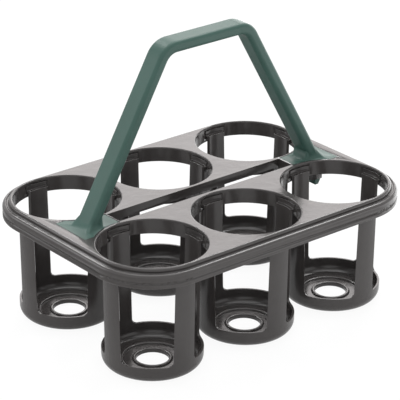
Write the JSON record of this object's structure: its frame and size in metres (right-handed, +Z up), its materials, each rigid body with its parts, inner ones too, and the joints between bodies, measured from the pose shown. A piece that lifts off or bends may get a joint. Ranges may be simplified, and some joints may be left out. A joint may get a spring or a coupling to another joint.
{
  "type": "six pack carrier",
  "caption": "Moulded bottle carrier: a rimmed tray with round openings, open-sided cups hung from it in two rows, and a snap-in strap handle.",
  "frame": {"origin": "centre of the footprint, on the plane that the cups stand on", "axes": "+X along the length, three cups long. +Y from the front row to the back row. +Z up to the handle"},
  "size_m": [0.316, 0.231, 0.257],
  "materials": {
    "tray_plastic": "moulded, satin gloss, dark warm grey",
    "cup_plastic": "moulded, satin gloss, dark warm grey",
    "handle_plastic": "moulded, satin, dull bluish green"
  },
  "bodies": {
    "root": {"tray": "tray_plastic", "cup_front_left": "cup_plastic", "cup_front_middle": "cup_plastic", "cup_front_right": "cup_plastic", "cup_back_left": "cup_plastic", "cup_back_middle": "cup_plastic", "cup_back_right": "cup_plastic", "handle": "handle_plastic"}
  },
  "joints": []
}
